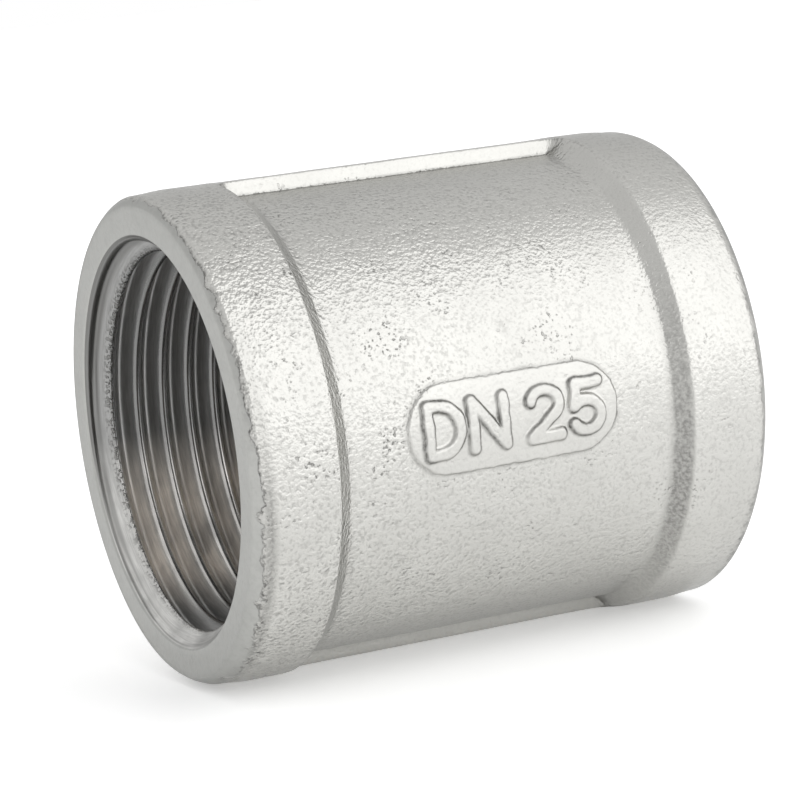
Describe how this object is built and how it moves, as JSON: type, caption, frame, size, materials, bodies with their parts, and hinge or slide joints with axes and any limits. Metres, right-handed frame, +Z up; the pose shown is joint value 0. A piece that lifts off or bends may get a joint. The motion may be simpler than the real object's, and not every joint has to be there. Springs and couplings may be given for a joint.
{
  "type": "pipe coupling",
  "caption": "Cast stainless steel pipe coupling: a round barrel with a collar at each end, two long ribs, a raised size pad and internal pipe thread from both ends.",
  "frame": {"origin": "middle of the bore, which is the middle of the bounding box", "axes": "+X along the bore; -Y out through the size pad; +Z up through one of the two long ribs, the other being at -Z"},
  "size_m": [0.045, 0.04, 0.04],
  "materials": {
    "cast_stainless": "satin"
  },
  "bodies": {
    "root": {"coupling_body": "cast_stainless"}
  },
  "joints": []
}
